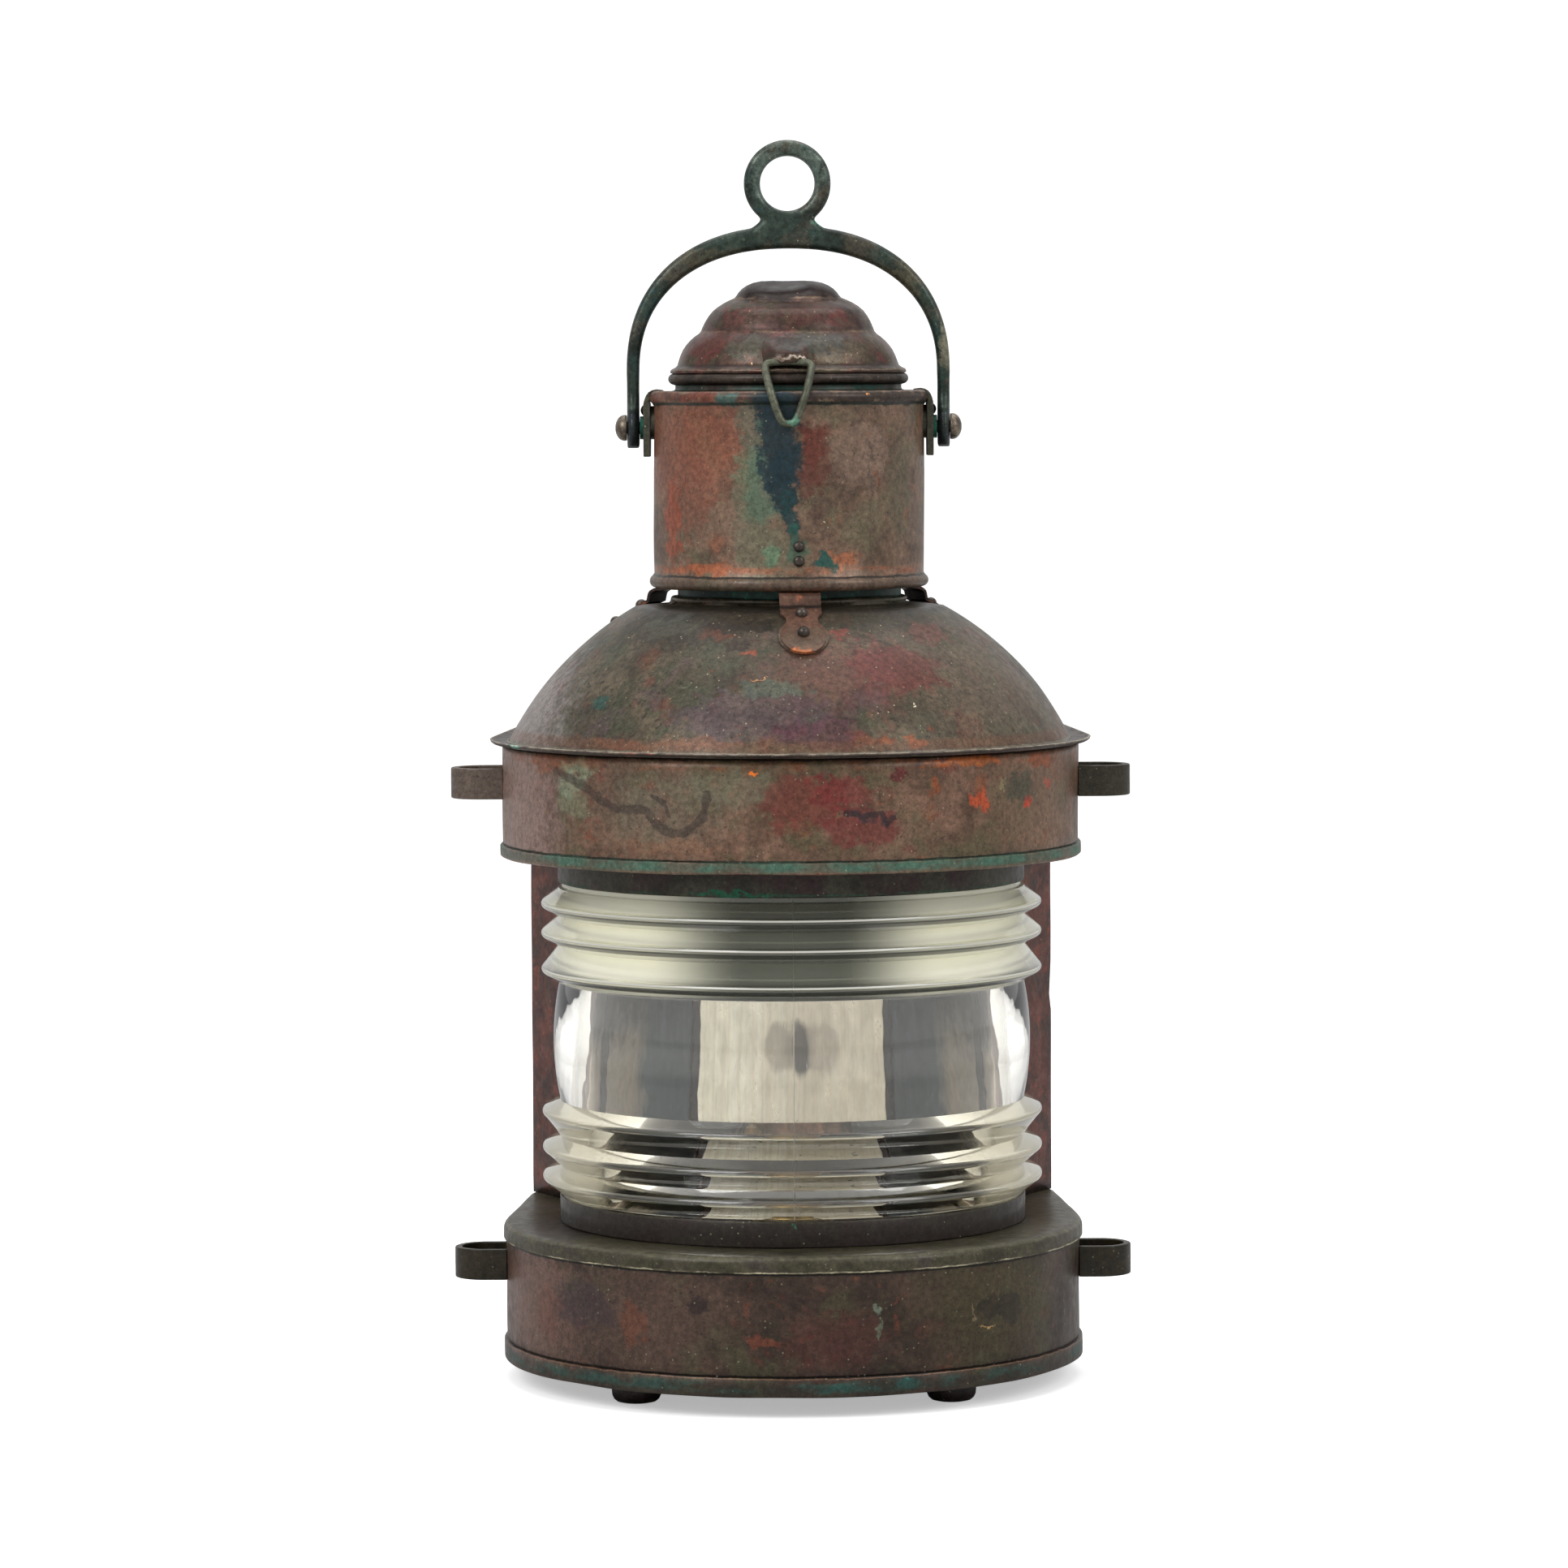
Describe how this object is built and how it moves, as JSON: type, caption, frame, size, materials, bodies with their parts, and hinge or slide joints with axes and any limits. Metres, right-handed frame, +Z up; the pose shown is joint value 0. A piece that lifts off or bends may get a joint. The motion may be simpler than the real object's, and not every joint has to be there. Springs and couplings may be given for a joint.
{
  "type": "navigation lantern",
  "caption": "D-shaped copper masthead lantern with a ribbed glass lens, domed top, ventilated chimney, hinged cap, carrying bail and an oil lamp behind a rear door.",
  "frame": {"origin": "middle of the lantern's outline at the level of the feet; the lens axis and the hanging ring are 21 mm behind it, at y 0.021", "axes": "+Z up, -Y to the front where the lens looks, +X to the right seen from the front"},
  "size_m": [0.3356, 0.2548, 0.6096],
  "materials": {
    "base_copper": "dark aged copper, brown and olive",
    "cover_copper": "dark aged copper, brown and olive",
    "foot_copper": "dark brown copper",
    "collar_copper": "aged copper, orange and brown",
    "lens_glass": "thick clear pressed glass, greenish",
    "casing_copper": "red-brown aged copper",
    "tinned_sheet": "dull tinned sheet, blue-grey",
    "reflector_sheet": "bright silvered sheet",
    "drum_copper": "aged copper with orange and crimson",
    "soffit_copper": "dark brown copper",
    "crown_copper": "aged copper with worn bright edge",
    "dome_copper": "dark olive copper with verdigris",
    "chimney_copper": "aged copper with teal streaks",
    "flue_copper": "teal and dark green copper",
    "cap_copper": "maroon-brown aged copper",
    "strap_copper": "worn brown copper strap",
    "rivet_steel": "dull dark steel",
    "bail_bronze": "dark green-black bronze",
    "ring_washer_bronze": "teal bronze",
    "lug_bronze": "dark olive bronze with bright scratches",
    "screw_steel": "dull worn steel",
    "hasp_bronze": "olive-grey bronze wire",
    "eye_bronze": "dark bronze, rubbed at the edges",
    "door_copper": "red-brown aged copper",
    "hinge_bronze": "dark bronze, rubbed at the edges",
    "pin_steel": "dull steel",
    "rail_copper": "brown copper",
    "font_copper": "brown copper, darkened by oil",
    "lamp_brass": "dull brass, darkened by heat",
    "wick_cotton": "woven cotton, charred at the top"
  },
  "bodies": {
    "lantern": {"base_pan": "base_copper", "base_cover": "cover_copper", "feet": "foot_copper", "lower_collar": "collar_copper", "upper_collar": "collar_copper", "left_post": "collar_copper", "right_post": "collar_copper", "lens": "lens_glass", "back_casing": "casing_copper", "dome_back": "casing_copper", "left_screen": "tinned_sheet", "right_screen": "tinned_sheet", "drum": "drum_copper", "drum_soffit": "soffit_copper", "crown_plate": "crown_copper", "dome": "dome_copper", "chimney": "chimney_copper", "flue": "flue_copper", "chimney_top": "flue_copper", "front_strap": "strap_copper", "right_strap": "strap_copper", "left_strap": "strap_copper", "strap_rivets": "rivet_steel", "bail_washers": "ring_washer_bronze", "left_lug": "lug_bronze", "right_lug": "lug_bronze", "lug_rivets": "lug_bronze", "cap_hinge_leaf": "lug_bronze", "bail_screws": "screw_steel", "upper_left_eye": "eye_bronze", "upper_right_eye": "eye_bronze", "lower_left_eye": "eye_bronze", "lower_right_eye": "eye_bronze", "upper_door_hinge": "hinge_bronze", "lower_door_hinge": "hinge_bronze", "cap_hinge_pin": "pin_steel", "door_hinge_pins": "pin_steel", "catch_stud": "pin_steel", "lamp_rails": "rail_copper", "fuel_font": "font_copper", "burner": "lamp_brass", "wick_tube": "lamp_brass"},
    "bail": {"bail": "bail_bronze"},
    "cap": {"cap": "cap_copper", "hasp_clip": "cap_copper"},
    "hasp": {"hasp_wire": "hasp_bronze"},
    "door": {"back_door": "door_copper", "door_reflector": "reflector_sheet", "upper_door_strap": "hinge_bronze", "lower_door_strap": "hinge_bronze"},
    "catch": {"door_catch": "hinge_bronze"},
    "filler": {"filler_cap": "lamp_brass"},
    "wick": {"wick": "wick_cotton"},
    "winder": {"wick_winder": "lamp_brass"}
  },
  "joints": [
    {"name": "bail_swing", "type": "hinge", "parent": "lantern", "child": "bail", "pos_m": [0, 0.021, 0.4689], "axis": [1, 0, 0], "range_deg": [-125, 125]},
    {"name": "cap_lift", "type": "hinge", "parent": "lantern", "child": "cap", "pos_m": [0, 0.0852, 0.4975], "axis": [-1, 0, 0], "range_deg": [0, 11]},
    {"name": "hasp_swing", "type": "hinge", "parent": "cap", "child": "hasp", "pos_m": [0, -0.0362, 0.5009], "axis": [-1, 0, 0], "range_deg": [0, 140]},
    {"name": "door_swing", "type": "hinge", "parent": "lantern", "child": "door", "pos_m": [-0.0675, 0.1244, 0.14], "axis": [0, 0, 1], "range_deg": [0, 120]},
    {"name": "catch_turn", "type": "hinge", "parent": "lantern", "child": "catch", "pos_m": [0.075, 0.1237, 0.14], "axis": [0, 1, 0], "range_deg": [0, 90]},
    {"name": "filler_lift", "type": "slide", "parent": "lantern", "child": "filler", "axis": [0, 0, 1], "range_m": [0, 0.008]},
    {"name": "wick_winding", "type": "hinge", "parent": "lantern", "child": "winder", "pos_m": [0, 0.02515, 0.06385], "axis": [1, 0, 0], "range_deg": [-160, 160]},
    {"name": "wick_rise", "type": "slide", "parent": "lantern", "child": "wick", "axis": [0, 0, 1], "range_m": [-0.0078, 0.0078]}
  ],
  "couplings": [
    {"joint": "wick_winding", "follows": "wick_rise", "rad_per_m": -357.14}
  ]
}
